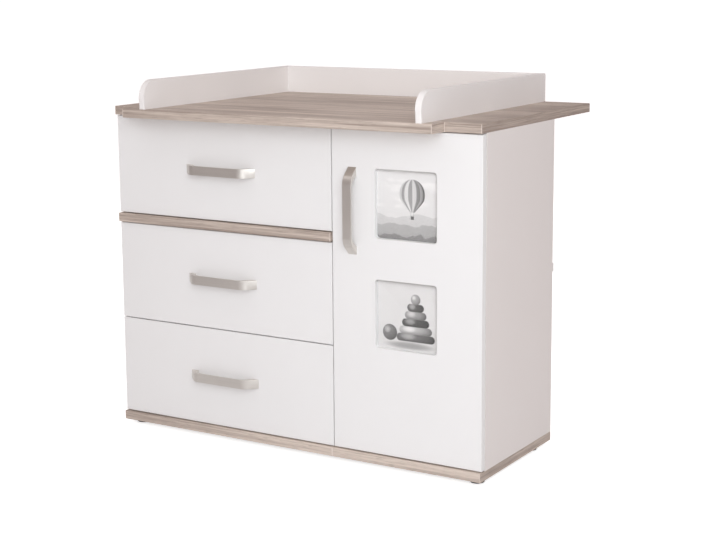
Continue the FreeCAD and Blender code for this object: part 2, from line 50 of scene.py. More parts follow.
class Value:
    """An output of a node.  A sum such as 1 - mask adds its Math nodes."""

    def __init__(self, nodes, socket):
        self.nodes = nodes
        self.socket = socket

    def maths(self, operation, *numbers):
        sockets = dict(enumerate(numbers))
        return self.nodes.node("ShaderNodeMath", {"operation": operation}, sockets)["Value"]

    def __add__(self, other):
        return self.maths("ADD", self, other)

    def __sub__(self, other):
        return self.maths("SUBTRACT", self, other)

    def __rsub__(self, other):
        return self.maths("SUBTRACT", other, self)

    def __mul__(self, other):
        return self.maths("MULTIPLY", self, other)

    def __truediv__(self, other):
        return self.maths("DIVIDE", self, other)

    def __rtruediv__(self, other):
        return self.maths("DIVIDE", other, self)

    def __pow__(self, other):
        return self.maths("POWER", self, other)

    def __mod__(self, other):
        return self.maths("FLOORED_MODULO", self, other)

    def __lt__(self, other):
        return self.maths("LESS_THAN", self, other)

    def __gt__(self, other):
        return self.maths("GREATER_THAN", self, other)

    def __abs__(self):
        return self.maths("ABSOLUTE", self)

    __radd__ = __add__
    __rmul__ = __mul__

    def least(self, other):
        return self.maths("MINIMUM", self, other)

    def most(self, other):
        return self.maths("MAXIMUM", self, other)

    def squared(self):
        return self * self

    def fade(self, low, high):
        """0 at low and 1 at high, with an eased step between them."""
        settings = {"interpolation_type": "SMOOTHSTEP"}
        sockets = {"Value": self, "From Min": low, "From Max": high}
        return self.nodes.node("ShaderNodeMapRange", settings, sockets)["Result"]


class Nodes:
    """A node tree while it is being made."""

    def __init__(self, tree):
        self.tree = tree

    def node(self, kind, settings=None, sockets=None):
        """Adds a node: its settings first, then its sockets by name or by order."""
        made = self.tree.nodes.new(kind)
        for name, value in (settings or {}).items():
            setattr(made, name, value)
        shown = [s for s in made.inputs if s.enabled]
        for key, value in (sockets or {}).items():
            if isinstance(key, int):
                socket = shown[key]
            else:
                socket = next(s for s in shown if s.name == key)
            for item in value if isinstance(value, list) else [value]:
                if isinstance(item, Value):
                    self.tree.links.new(item.socket, socket)
                else:
                    socket.default_value = item
        return {s.name: Value(self, s) for s in made.outputs if s.enabled}


class Finish(Nodes):
    """A material while it is being made."""

    def __init__(self, name):
        self.material = bpy.data.materials.new(name)
        self.material.use_nodes = True
        super().__init__(self.material.node_tree)
        self.tree.nodes.clear()
        place = self.node("ShaderNodeTexCoord")
        spot = self.node("ShaderNodeSeparateXYZ", {}, {0: place["Object"]})
        lean = self.node("ShaderNodeSeparateXYZ", {}, {0: place["Normal"]})
        self.x, self.y, self.z = spot["X"], spot["Y"], spot["Z"]
        self.lean_x, self.lean_y, self.lean_z = lean["X"], lean["Y"], lean["Z"]

    def vector(self, x, y, z):
        return self.node("ShaderNodeCombineXYZ", {}, {0: x, 1: y, 2: z})["Vector"]

    def noise(self, x, y, z, detail=2.0, roughness=0.5):
        sockets = {"Vector": self.vector(x, y, z), "Scale": 1.0,
                   "Detail": detail, "Roughness": roughness}
        return self.node("ShaderNodeTexNoise", {}, sockets)["Fac"]

    def mix(self, share, first, second):
        sockets = {"Factor": share, "A": first, "B": second}
        return self.node("ShaderNodeMix", {"data_type": "RGBA"}, sockets)["Result"]

    def relief(self, height, distance, strength=1.0):
        sockets = {"Height": height, "Distance": distance, "Strength": strength}
        return self.node("ShaderNodeBump", {}, sockets)["Normal"]

    def cover(self, sockets):
        """Ends the material in one Principled shader and returns the material."""
        shader = self.node("ShaderNodeBsdfPrincipled", {}, sockets)["BSDF"]
        self.node("ShaderNodeOutputMaterial", {}, {"Surface": shader})
        return self.material


def floor_paper():
    paper = Finish("floor_paper")
    mottle = paper.noise(paper.x * 3, paper.y * 3, paper.z, 3)
    tone = paper.mix(mottle, (0.83, 0.83, 0.83, 1), (0.85, 0.85, 0.85, 1))
    seen = paper.node("ShaderNodeLightPath")["Is Camera Ray"]
    return paper.cover({"Base Color": tone, "Roughness": 0.9, "Specular IOR Level": 0.1,
                        "Emission Color": (1, 1, 1, 1), "Emission Strength": seen * 0.74})


floor_reach = 30.0
floor_mesh = bpy.data.meshes.new("floor")
floor_mesh.from_pydata([(-floor_reach, -floor_reach, 0), (floor_reach, -floor_reach, 0),
                        (floor_reach, floor_reach, 0), (-floor_reach, floor_reach, 0)],
                       [], [(0, 1, 2, 3)])
floor_mesh.materials.append(floor_paper())
floor = bpy.data.objects.new("floor", floor_mesh)
bpy.context.scene.collection.objects.link(floor)

world = bpy.data.worlds.new("studio")
bpy.context.scene.world = world
world.use_nodes = True
world.node_tree.nodes.clear()
sky = Nodes(world.node_tree)
seen = sky.node("ShaderNodeLightPath")["Is Camera Ray"]
tint = sky.node("ShaderNodeMix", {"data_type": "RGBA"}, {
    "Factor": seen, "A": (0.430, 0.378, 0.370, 1), "B": (1.05, 1.05, 1.05, 1)})["Result"]
glow = sky.node("ShaderNodeBackground", {}, {"Color": tint})
sky.node("ShaderNodeOutputWorld", {}, {"Surface": glow["Background"]})
bpy.context.scene.view_settings.view_transform = "Standard"

aim = Vector((0, 0, 0.5))


def soft_light(name, turn, lift, distance, width, height, power, colour=(1, 1, 1)):
    """An area light on the body: turn and lift are degrees right of the front and up."""
    lamp = bpy.data.lights.new(name, "AREA")
    lamp.shape = "RECTANGLE"
    lamp.size = width
    lamp.size_y = height
    lamp.energy = power
    lamp.color = colour
    turn, lift = math.radians(turn), math.radians(lift)
    away = Vector((math.sin(turn) * math.cos(lift), -math.cos(turn) * math.cos(lift),
                   math.sin(lift)))
    holder = bpy.data.objects.new(name, lamp)
    holder.location = aim + away * distance
    holder.rotation_euler = away.to_track_quat("Z", "Y").to_euler()
    bpy.context.scene.collection.objects.link(holder)
    return holder


soft_light("key_light", 33, 20, 4.5, 3.0, 2.6, 103, (0.915, 0.969, 1.0))
soft_light("sky_light", -20, 60, 4.0, 3.0, 3.0, 21)
soft_light("high_light", 75, 50, 3.5, 2.4, 2.0, 9, (0.93, 0.98, 1.0))
back_light = soft_light("back_light", 214, 22, 4.5, 2.4, 2.0, 46, (0.95, 0.98, 1.0))
back_light.visible_glossy = False
soft_light("strip_light", 66, 14, 3.6, 0.3, 1.8, 1.5)

# The camera stands to the right of the front, a little above the changing top.
camera_place = Vector((2.3341, -3.7558, 1.3330))
camera_turn = math.radians(31.430)
camera_dip = math.radians(9.434)
camera_roll = math.radians(-0.443)
ahead = Vector((-math.sin(camera_turn) * math.cos(camera_dip),
                math.cos(camera_turn) * math.cos(camera_dip),
                -math.sin(camera_dip)))
level = Vector((math.cos(camera_turn), math.sin(camera_turn), 0))
upward = level.cross(ahead)
side = level * math.cos(camera_roll) + upward * math.sin(camera_roll)
upward = upward * math.cos(camera_roll) - level * math.sin(camera_roll)
lens = bpy.data.cameras.new("camera")
lens.sensor_width = 36.0
lens.lens = 77.43
lens.shift_y = -0.06
camera = bpy.data.objects.new("camera", lens)
camera.matrix_world = (Matrix.Translation(camera_place)
                       @ Matrix((side, upward, -ahead)).transposed().to_4x4())
bpy.context.scene.collection.objects.link(camera)
bpy.context.scene.camera = camera


# Wood-tone boards ---------------------------------------------------------------------
# Chipboard in a printed elm foil: the changing top with its stepped front, the
# bottom board and the strip between two drawers, all edged with a matching band.

def dress(material, *nodes):
    """Gives a finish to CAD nodes that are shown as they are."""
    for node in nodes:
        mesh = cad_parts[node].data
        if not mesh.materials:
            mesh.materials.append(material)
        for i in range(len(mesh.materials)):
            mesh.materials[i] = material


board_end = 0.595
strip_end = 0.1395
step_ends = (-0.513, 0.487)
top_level = 0.92
band_end = 0.0022


def elm_decor():
    """Grain runs along X, and along Y on the ends.  The edges, the ends and the top's right end
    are darkened as painted shade.
    """
    elm = Finish("elm_decor")
    on_end = abs(elm.lean_x) > 0.5
    on_top = abs(elm.lean_z) > 0.5
    along = elm.x + on_end * (elm.y - elm.x)
    across = elm.y + on_end * (elm.x - elm.y)
    across = across + elm.noise(along * 1.3, across * 4, elm.z * 4, 2) * 0.016
    broad = elm.noise(along * 0.9, across * 11, elm.z * 11, 3)
    figure = elm.noise(along * 1.7, across * 32, elm.z * 110, 3, 0.6)
    streak = elm.noise(along * 3.1, across * 88, elm.z * 230, 3, 0.6)
    fibre = elm.noise(along * 11, across * 420, elm.z * 420, 2)
    pore = elm.noise(along * 26, across * 640, elm.z * 640, 1).fade(0.60, 0.70)
    tone = broad * 0.45 + figure * 0.70 + streak * 0.55 + fibre * 0.35
    tone = (tone - 0.525).fade(0.20, 0.80)
    high = elm.z > top_level
    # painted shade: the edges darker, most toward the left, and the ends darker still
    tone = tone - (1 - on_top) * (0.15 - elm.x.fade(-0.45, 0.0) * 0.10) - on_end * 0.10
    # painted shade: the top plate darker toward its right end
    tone = tone - elm.x.fade(0.43, 0.60) * high * 0.28
    colour = elm.mix(tone, (0.345, 0.275, 0.235, 1), (0.745, 0.64, 0.56, 1))
    colour = elm.mix(pore * 0.42, colour, (0.26, 0.205, 0.175, 1))
    # the bands' own paler ends show at the corners of the front edges
    cut = abs(abs(elm.x) - board_end) < band_end
    cut = cut.most((abs(elm.x - strip_end) < band_end) * (1 - high))
    for end in step_ends:
        cut = cut.most((abs(elm.x - end) < band_end) * high)
    cut = cut * (1 - on_end) * (1 - on_top)
    colour = elm.mix(cut * 0.7, colour, (0.78, 0.69, 0.63, 1))
    rough = 0.42 + fibre * 0.16 + pore * 0.12
    grain = elm.relief(fibre * 0.5 + streak * 0.5 - pore * 0.6, 0.00022, 0.6)
    return elm.cover({"Base Color": colour, "Roughness": rough, "Normal": grain,
                      "Specular IOR Level": 0.4})


dress(elm_decor(), "bottom_board", "top_plate", "trim_strip")


# Feet ---------------------------------------------------------------------------------
# Four low glides: a black moulded body on a short stem, pressed up into the bottom
# board, with a black rubber sole that stands on the floor.

def lathe(bm, profile, centre, axis, segments):
    """Turns (radius, height) points about an axis into a closed shell in bm."""
    turn = axis.to_track_quat("Z", "Y").to_matrix()
    rings = []
    for radius, height in profile:
        if radius == 0:
            rings.append([bm.verts.new(centre + turn @ Vector((0, 0, height)))])
            continue
        ring = []
        for i in range(segments):
            angle = 2 * math.pi * i / segments
            spot = Vector((radius * math.cos(angle), radius * math.sin(angle), height))
            ring.append(bm.verts.new(centre + turn @ spot))
        rings.append(ring)
    for lower, upper in zip(rings, rings[1:]):
        for i in range(segments):
            corners = [lower[i % len(lower)], lower[(i + 1) % len(lower)],
                       upper[(i + 1) % len(upper)], upper[i % len(upper)]]
            bm.faces.new(list(dict.fromkeys(corners)))


smooth_angle = math.radians(32)


def piece(name, bm, material, body, slot, *stands_for):
    """A finished mesh that rides on a CAD body, in place of the CAD nodes named."""
    bmesh.ops.recalc_face_normals(bm, faces=bm.faces)
    mesh = bpy.data.meshes.new(name)
    bm.to_mesh(mesh)
    bm.free()
    mesh.materials.append(material)
    mesh.polygons.foreach_set("use_smooth", [True] * len(mesh.polygons))
    mesh.set_sharp_from_angle(angle=smooth_angle)
    made = bpy.data.objects.new(name, mesh)
    bpy.context.scene.collection.objects.link(made)
    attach(made, body)
    if stands_for:
        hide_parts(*stands_for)


def tinted(tone, share):
    """A colour made darker or lighter, with its alpha."""
    return tuple(c * share for c in tone) + (1,)


def moulded(name, tone, roughness, pebble=0.00004):
    """Moulded plastic or rubber with a fine spark-eroded skin."""
    plastic = Finish(name)
    skin = plastic.noise(plastic.x * 1500, plastic.y * 1500, plastic.z * 1500, 2)
    cloud = plastic.noise(plastic.x * 18, plastic.y * 18, plastic.z * 18, 2)
    colour = plastic.mix(cloud, tinted(tone, 0.94), tinted(tone, 1.05))
    return plastic.cover({"Base Color": colour, "Roughness": roughness - 0.06 + cloud * 0.12,
                          "Normal": plastic.relief(skin, pebble, 0.5)})


foot_places = [Vector((x, y, 0)) for x in (-0.562, 0.562) for y in (-0.262, 0.062)]
foot_profile = [(0, 0.0050), (0.0196, 0.0050), (0.0200, 0.0054), (0.0208, 0.0066),
                (0.0210, 0.0072), (0.0210, 0.0118), (0.0204, 0.0126), (0.0130, 0.0130),
                (0.0130, 0.0140), (0.0040, 0.0140), (0.0040, 0.0250), (0.0034, 0.0260),
                (0, 0.0260)]
sole_profile = [(0, 0), (0.0186, 0), (0.0194, 0.0006), (0.0199, 0.0020), (0.0199, 0.0042),
                (0.0193, 0.0050), (0, 0.0050)]
foot_sides = 48
straight_up = Vector((0, 0, 1))
rib_count = 16
rib_size = (0.0013, 0.0022, 0.0040)
rib_place = Vector((0.0203, 0, 0.0095))
bodies_mesh = bmesh.new()
soles_mesh = bmesh.new()
for place in foot_places:
    lathe(bodies_mesh, foot_profile, place, straight_up, foot_sides)
    lathe(soles_mesh, sole_profile, place, straight_up, foot_sides)
    for i in range(rib_count):
        # grip ribs round the body
        turn = Matrix.Rotation(2 * math.pi * i / rib_count, 3, "Z")
        rib = bmesh.ops.create_cube(bodies_mesh, size=1.0)["verts"]
        bmesh.ops.scale(bodies_mesh, vec=rib_size, verts=rib)
        bmesh.ops.rotate(bodies_mesh, cent=(0, 0, 0), matrix=turn, verts=rib)
        bmesh.ops.translate(bodies_mesh, vec=place + turn @ rib_place, verts=rib)
piece("foot_glides", bodies_mesh, moulded("black_glide", (0.014, 0.014, 0.014), 0.46),
      "cabinet", "black_plastic", "foot_bodies")
piece("foot_pads", soles_mesh, moulded("black_sole", (0.012, 0.012, 0.013), 0.75),
      "cabinet", "black_rubber", "foot_soles")


# White carcass ------------------------------------------------------------------------
# White melamine-faced chipboard: two sides, the partition, the rails under the top and
# behind the wood strip, and the shelf.  Two columns of shelf holes are bored in each of
# the compartment's walls.

white = (0.865, 0.855, 0.850)


def pearl(finish):
    """The faint orange-peel of melamine, as a height."""
    return (finish.noise(finish.x * 700, finish.y * 700, finish.z * 700, 3)
            + finish.noise(finish.x * 90, finish.y * 90, finish.z * 90, 2) * 0.5)


def white_board(name, tone=white, marks=None):
    """White melamine; marks gives a 0 to 1 mask, its colour and how deep it sinks."""
    board = Finish(name)
    cloud = board.noise(board.x * 5, board.y * 5, board.z * 5, 3)
    colour = board.mix(cloud, tinted(tone, 0.985), tinted(tone, 1.01))
    height = pearl(board)
    rough = 0.34 + board.noise(board.x * 40, board.y * 40, board.z * 40, 3) * 0.10
    if marks:
        mask, shade, depth = marks(board)
        colour = board.mix(mask, colour, shade)
        height = height - mask * depth
    return board.cover({"Base Color": colour, "Roughness": rough,
                        "Normal": board.relief(height, 0.00004, 0.5),
                        "Specular IOR Level": 0.45})


compartment = (0.149, 0.579)
hole_columns = (-0.225, 0.077)
pin_height = 0.46555
hole_step = 0.032
hole_heights = [pin_height + hole_step * i for i in range(-6, 7)]
hole_radius = 0.0025
hole_depth = 0.009
hole_sides = 20


def raw_holes(board):
    """Bare chipboard inside the shelf holes."""
    column = abs(board.y - hole_columns[0]).least(abs(board.y - hole_columns[1]))
    step = abs((board.z - pin_height + hole_step / 2) % hole_step - hole_step / 2)
    away = (column.squared() + step.squared()) ** 0.5
    end = hole_depth + 0.0005
    inside = (board.x > compartment[0] - end) * (board.x < compartment[1] + end)
    inside = inside * (board.z > hole_heights[0] - 0.01) * (board.z < hole_heights[-1] + 0.01)
    return (away < hole_radius * 1.01) * inside, (0.26, 0.19, 0.13, 1), 0.0


def bored_board(name, node, wall, way, finish):
    """A board with shelf holes bored in its face at X = wall, against the way it faces."""
    low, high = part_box(node)
    slab = bmesh.new()
    corners = bmesh.ops.create_cube(slab, size=1.0)["verts"]
    bmesh.ops.scale(slab, vec=high - low, verts=corners)
    bmesh.ops.translate(slab, vec=(low + high) / 2, verts=corners)
    drills = bmesh.new()
    drill = [(0, -hole_depth), (hole_radius, -hole_depth), (hole_radius, 0.001), (0, 0.001)]
    for y in hole_columns:
        for z in hole_heights:
            lathe(drills, drill, Vector((wall, y, z)), Vector((way, 0, 0)), hole_sides)
    made = []
    for bm in (slab, drills):
        bmesh.ops.recalc_face_normals(bm, faces=bm.faces)
        mesh = bpy.data.meshes.new(name)
        bm.to_mesh(mesh)
        bm.free()
        made.append(bpy.data.objects.new(name + "_uncut", mesh))
        bpy.context.scene.collection.objects.link(made[-1])
    board, tool = made
    cutter = board.modifiers.new("holes", "BOOLEAN")
    cutter.object = tool
    shown = board.evaluated_get(bpy.context.evaluated_depsgraph_get())
    bm = bmesh.new()
    bm.from_mesh(shown.to_mesh())
    bpy.data.objects.remove(tool)
    bpy.data.objects.remove(board)
    piece(name, bm, finish, "cabinet", "white_board", node)


# The carcass boards are the fronts' white melamine painted darker and warmer: painted shade for
# the weaker, warmer light on the sides.
shade_tinted_white = (0.835, 0.785, 0.762)
dress(white_board("white_melamine", shade_tinted_white), "side_panel_left", "mid_rail", "top_rails",
      "shelf")
bored = white_board("bored_melamine", shade_tinted_white, raw_holes)
bored_board("partition_bored", "partition", compartment[0], 1, bored)
bored_board("side_right_bored", "side_panel_right", compartment[1], -1, bored)


# Back ---------------------------------------------------------------------------------
# Two sheets of white hardboard in a plastic joiner, nailed to the carcass, with a
# moulded end clip at each side.

def cross_screw_tree():
    """Screws with a cross recess, or plain heads where its width is 0, on each point."""
    tree = bpy.data.node_groups.new("cross_screws", "GeometryNodeTree")
    sockets = tree.interface
    sockets.new_socket("Places", in_out="INPUT", socket_type="NodeSocketGeometry")
    for label in ("Head radius", "Head height", "Top radius", "Recess width",
                  "Recess length", "Shank radius", "Shank length"):
        sockets.new_socket(label, in_out="INPUT", socket_type="NodeSocketFloat")
    sockets.new_socket("Finish", in_out="INPUT", socket_type="NodeSocketMaterial")
    sockets.new_socket("Screws", in_out="OUTPUT", socket_type="NodeSocketGeometry")
    nodes = Nodes(tree)
    given = nodes.node("NodeGroupInput")
    height = given["Head height"]

    def raised(mesh, z):
        place = nodes.node("ShaderNodeCombineXYZ", {}, {2: z})["Vector"]
        return nodes.node("GeometryNodeTransform", {}, {"Geometry": mesh,
                                                        "Translation": place})["Geometry"]

    head = nodes.node("GeometryNodeMeshCone", {"fill_type": "NGON"}, {
        "Vertices": 20, "Side Segments": 1, "Radius Top": given["Top radius"],
        "Radius Bottom": given["Head radius"], "Depth": height})["Mesh"]
    bars = []
    wide, long = given["Recess width"], given["Recess length"]
    for size_x, size_y in ((wide, long), (long, wide)):
        size = nodes.node("ShaderNodeCombineXYZ", {}, {
            0: size_x, 1: size_y, 2: height})["Vector"]
        bar = nodes.node("GeometryNodeMeshCube", {}, {"Size": size})["Mesh"]
        bars.append(raised(bar, height * 0.75))
    cut = nodes.node("GeometryNodeMeshBoolean", {"operation": "DIFFERENCE", "solver": "EXACT"},
                     {"Mesh 1": head, "Mesh 2": bars})["Mesh"]
    shown = nodes.node("GeometryNodeSwitch", {"input_type": "GEOMETRY"}, {
        "Switch": given["Recess width"] > 0, "False": head, "True": cut})["Output"]
    shank = nodes.node("GeometryNodeMeshCylinder", {"fill_type": "NGON"}, {
        "Vertices": 12, "Radius": given["Shank radius"],
        "Depth": given["Shank length"]})["Mesh"]
    shank = raised(shank, given["Shank length"] * -0.5)
    screw = nodes.node("GeometryNodeJoinGeometry", {}, {"Geometry": [shown, shank]})["Geometry"]
    facing = nodes.node("GeometryNodeInputNamedAttribute", {"data_type": "FLOAT_VECTOR"},
                        {"Name": "facing"})["Attribute"]
    turned = nodes.node("FunctionNodeAlignRotationToVector", {"axis": "Z"},
                        {"Vector": facing})["Rotation"]
    points = nodes.node("GeometryNodeMeshToPoints", {}, {"Mesh": given["Places"]})["Points"]
    set_out = nodes.node("GeometryNodeInstanceOnPoints", {}, {
        "Points": points, "Instance": screw, "Rotation": turned})["Instances"]
    solid = nodes.node("GeometryNodeRealizeInstances", {}, {"Geometry": set_out})["Geometry"]
    made = nodes.node("GeometryNodeSetMaterial", {}, {
        "Geometry": solid, "Material": given["Finish"]})["Geometry"]
    nodes.node("NodeGroupOutput", {}, {"Screws": made})
    return tree


screw_tree = cross_screw_tree()


def screws(name, places, sizes, material, body, slot, *stands_for):
    """Screws at (place, facing) pairs; sizes are named as the tree's inputs."""
    mesh = bpy.data.meshes.new(name)
    mesh.from_pydata([place for place, _ in places], [], [])
    facing = mesh.attributes.new("facing", "FLOAT_VECTOR", "POINT")
    facing.data.foreach_set("vector", [c for _, way in places for c in way])
    made = bpy.data.objects.new(name, mesh)
    bpy.context.scene.collection.objects.link(made)
    modifier = made.modifiers.new("screws", "NODES")
    modifier.node_group = screw_tree
    for socket in screw_tree.interface.items_tree:
        if socket.name in sizes:
            modifier[socket.identifier] = sizes[socket.name]
        if socket.name == "Finish":
            modifier[socket.identifier] = material
    shown = made.evaluated_get(bpy.context.evaluated_depsgraph_get())
    solid = bpy.data.meshes.new_from_object(shown)
    made.modifiers.clear()
    made.data = solid
    solid.set_sharp_from_angle(angle=smooth_angle)
    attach(made, body)
    if stands_for:
        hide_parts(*stands_for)


def plated(name, tone, roughness):
    """Bright zinc or nickel plate on pressed steel, a little cloudy."""
    plate = Finish(name)
    cloud = plate.noise(plate.x * 60, plate.y * 60, plate.z * 60, 4)
    fine = plate.noise(plate.x * 900, plate.y * 900, plate.z * 900, 2)
    colour = plate.mix(cloud, tinted(tone, 0.88), tinted(tone, 1.05))
    return plate.cover({"Base Color": colour, "Metallic": 1.0,
                        "Roughness": roughness - 0.06 + cloud * 0.10 + fine * 0.05,
                        "Normal": plate.relief(fine, 0.00002, 0.4)})


def hardboard():
    sheet = Finish("white_hardboard")
    felt = sheet.noise(sheet.x * 240, sheet.y * 240, sheet.z * 240, 4, 0.65)
    cloud = sheet.noise(sheet.x * 4, sheet.y * 4, sheet.z * 4, 3)
    colour = sheet.mix(cloud * 0.6 + felt * 0.4, (0.78, 0.765, 0.75, 1), (0.85, 0.84, 0.83, 1))
    return sheet.cover({"Base Color": colour, "Roughness": 0.48 + felt * 0.16,
                        "Normal": sheet.relief(felt, 0.00010, 0.5)})


hardboard_finish = hardboard()
white_plastic = moulded("white_clip", (0.80, 0.80, 0.79), 0.42)
zinc = plated("bright_zinc", (0.66, 0.67, 0.69), 0.34)
dress(hardboard_finish, "back_panel_lower", "back_panel_upper")
dress(white_plastic, "back_joiner", "back_clips")

back_skin = 0.133
nail_columns = (-0.587, 0.141, 0.587)
nail_rows = (0.026, 0.918)
lower_nail, lower_step = 0.052, 0.070
upper_nail, upper_step = 0.545, 0.0605
row_step = 0.0978
nail_places = []
for x in nail_columns:
    for i in range(7):
        nail_places += [(x, lower_nail + i * lower_step), (x, upper_nail + i * upper_step)]
for z in nail_rows:
    nail_places += [(nail_columns[0] + i * row_step, z) for i in range(1, 12)]
screws("back_nails", [(Vector((x, back_skin, z)), (0, 1, 0)) for x, z in nail_places], {
    "Head radius": 0.0024, "Head height": 0.0006, "Top radius": 0.0019,
    "Recess width": 0, "Recess length": 0, "Shank radius": 0.0007,
    "Shank length": 0.018}, zinc, "cabinet", "zinc")


# Changing rim -------------------------------------------------------------------------
# Three white boards on edge round the changing area, with softened edges and a large
# round at the front of each side.  They are screwed from below through the top.

def eased(corners, steps):
    """A closed outline from (u, v, radius) corners, each arc in short steps."""
    outline = []
    for i, (u, v, radius) in enumerate(corners):
        here = Vector((u, v))
        if radius == 0:
            outline.append(here)
            continue
        before = (Vector(corners[i - 1][:2]) - here).normalized()
        after = (Vector(corners[(i + 1) % len(corners)][:2]) - here).normalized()
        half = before.angle(after) / 2
        pivot = here + (before + after).normalized() * (radius / math.sin(half))
        start = here + before * (radius / math.tan(half)) - pivot
        end = here + after * (radius / math.tan(half)) - pivot
        turn = start.angle(end)
        for k in range(steps + 1):
            share = k / steps
            outline.append(pivot + (start * math.sin((1 - share) * turn)
                                    + end * math.sin(share * turn)) / math.sin(turn))
    return outline


def prism(bm, ring, run):
    """A solid with the given end outline, drawn out along run."""
    start = [bm.verts.new(p) for p in ring]
    end = [bm.verts.new(p + run) for p in ring]
    bm.faces.new(start)
    bm.faces.new(end)
    for i in range(len(ring)):
        j = (i + 1) % len(ring)
        bm.faces.new((start[i], start[j], end[j], end[i]))


small = 1e-6


def soften(bm, radius, segments, wanted):
    """Rounds the edges whose two ends pass the test together."""
    edges = [e for e in bm.edges if wanted(*[v.co for v in e.verts])]
    bmesh.ops.bevel(bm, geom=edges, offset=radius, segments=segments, profile=0.5,
                    affect="EDGES", clamp_overlap=True)


plate_top = 0.953
rim_top = 1.035
rim_front = -0.372
top_back = 0.375
rim_inside = 0.437
rim_thickness = 0.018
rim_corner = 0.050
rim_round = 0.0032


def side_rim(x0):
    outline = eased([(rim_front, plate_top, 0), (rim_front, rim_top, rim_corner),
                     (top_back, rim_top, 0), (top_back, plate_top, 0)], 18)
    bm = bmesh.new()
    prism(bm, [Vector((x0, y, z)) for y, z in outline], Vector((rim_thickness, 0, 0)))

    def open_edge(a, b):
        on_side = abs(a.x - b.x) <= small
        on_foot = max(a.z, b.z) < plate_top + small
        on_back = min(a.y, b.y) > top_back - small
        return on_side and not on_foot and not on_back

    soften(bm, rim_round, 5, open_edge)
    return bm


def back_rim():
    front = top_back - rim_thickness
    bm = bmesh.new()
    prism(bm, [Vector((-rim_inside, y, z)) for y, z in (
        (front, plate_top), (top_back, plate_top), (top_back, rim_top), (front, rim_top))],
          Vector((2 * rim_inside, 0, 0)))
    soften(bm, rim_round, 5, lambda a, b: min(a.z, b.z) > rim_top - small)
    return bm


# The rims' white is painted lighter than the other white boards: painted light for the brighter
# light on their faces.
lightened_rim_finish = white_board("rim_white_lightened", (0.895, 0.865, 0.850))
piece("changing_rim_left", side_rim(-rim_inside - rim_thickness), lightened_rim_finish, "cabinet",
      "white_board", "rim_left")
piece("changing_rim_right", side_rim(rim_inside), lightened_rim_finish, "cabinet", "white_board",
      "rim_right")
piece("changing_rim_back", back_rim(), lightened_rim_finish, "cabinet", "white_board", "rim_back")


# Cams and rim screws ------------------------------------------------------------------
# Zinc cams in the rails' undersides pull the carcass together; countersunk screws
# under the top hold the three rims.

cam_height = 0.0250
cam_inset = 0.034
front_cams, rear_cams = -0.241, 0.090
top_rail_low, mid_rail_low = 0.912, 0.6185
drawer_bay = (-0.579, 0.133)
cam_places = []
for left, right in (drawer_bay, compartment):
    for y in (front_cams, rear_cams):
        cam_places += [(left + cam_inset, y, top_rail_low),
                       (right - cam_inset, y, top_rail_low)]
cam_places += [(drawer_bay[0] + cam_inset, front_cams, mid_rail_low),
               (drawer_bay[1] - cam_inset, front_cams, mid_rail_low)]
cams = [(Vector((x, y, low + cam_height / 2)), (0, 0, -1)) for x, y, low in cam_places]
screws("rail_cams", cams, {
    "Head radius": 0.0074, "Head height": cam_height, "Top radius": 0.0070,
    "Recess width": 0.0022, "Recess length": 0.0086, "Shank radius": 0.0020,
    "Shank length": 0.0003}, zinc, "cabinet", "zinc", "cam_fittings")

rim_screw_height = 0.9295
rim_screw_places = []
for share in (0.25, 0.75):
    y = rim_front + share * (top_back - rim_front)
    x = rim_inside + rim_thickness / 2
    rim_screw_places += [(-x, y), (x, y)]
    rim_screw_places.append((rim_inside * (2 * share - 1), top_back - rim_thickness / 2))
rim_screws = [(Vector((x, y, rim_screw_height)), (0, 0, -1)) for x, y in rim_screw_places]
screws("rim_fixings", rim_screws, {
    "Head radius": 0.0028, "Head height": 0.0028, "Top radius": 0.0040,
    "Recess width": 0.0010, "Recess length": 0.0042, "Shank radius": 0.0020,
    "Shank length": 0.050}, zinc, "cabinet", "zinc", "rim_screws")


# Runners ------------------------------------------------------------------------------
# White epoxy-coated steel roller runners.  Each cabinet profile carries a nylon
# roller at its front and each drawer profile one at its back.

runner_white = moulded("epoxy_steel", (0.78, 0.78, 0.77), 0.33, 0.00003)
nylon = moulded("nylon_roller", (0.74, 0.73, 0.70), 0.38)
drawers = {"drawer_bottom": 0.042, "drawer_middle": 0.328, "drawer_top": 0.642}
dress(runner_white, "cabinet_runners")
runner_rise = 0.038
runner_faces = ((-0.5778, 1), (0.1318, -1))
runner_rows = (-0.246, -0.120, 0.036)
runner_screws = []
for bottom in drawers.values():
    for skin, way in runner_faces:
        for y in runner_rows:
            runner_screws.append((Vector((skin, y, bottom + runner_rise)), (way, 0, 0)))
pan_head = {"Head radius": 0.0034, "Head height": 0.0016, "Top radius": 0.0024,
            "Recess width": 0.0008, "Recess length": 0.0036, "Shank radius": 0.0016,
            "Shank length": 0.010}
screws("runner_screws", runner_screws, pan_head, zinc, "cabinet", "zinc")
for drawer in drawers:
    dress(runner_white, drawer + "_runners")
    dress(nylon, drawer + "_front_rollers", drawer + "_rear_rollers")


# Handles ------------------------------------------------------------------------------
# Flat bands of satin nickel, bent to a bow with sloping ends: three lie across the
# drawers and one stands on the door.  Each is held by two screws from behind.

def satin_nickel(name, upright):
    """Nickel brushed along the handle's length."""
    nickel = Finish(name)
    fine, slow = 520, 5
    x, y, z = nickel.x, nickel.y, nickel.z
    if upright:
        brush = nickel.noise(x * fine, y * fine, z * slow, 3, 0.6)
    else:
        brush = nickel.noise(x * slow, y * fine, z * fine, 3, 0.6)
    cloud = nickel.noise(x * 14, y * 14, z * 14, 2)
    colour = nickel.mix(cloud * 0.5 + brush * 0.5, (0.61, 0.58, 0.545, 1),
                        (0.81, 0.775, 0.735, 1))
    return nickel.cover({"Base Color": colour, "Metallic": 1.0,
                         "Roughness": 0.31 + brush * 0.14,
                         "Normal": nickel.relief(brush, 0.00003, 0.5)})


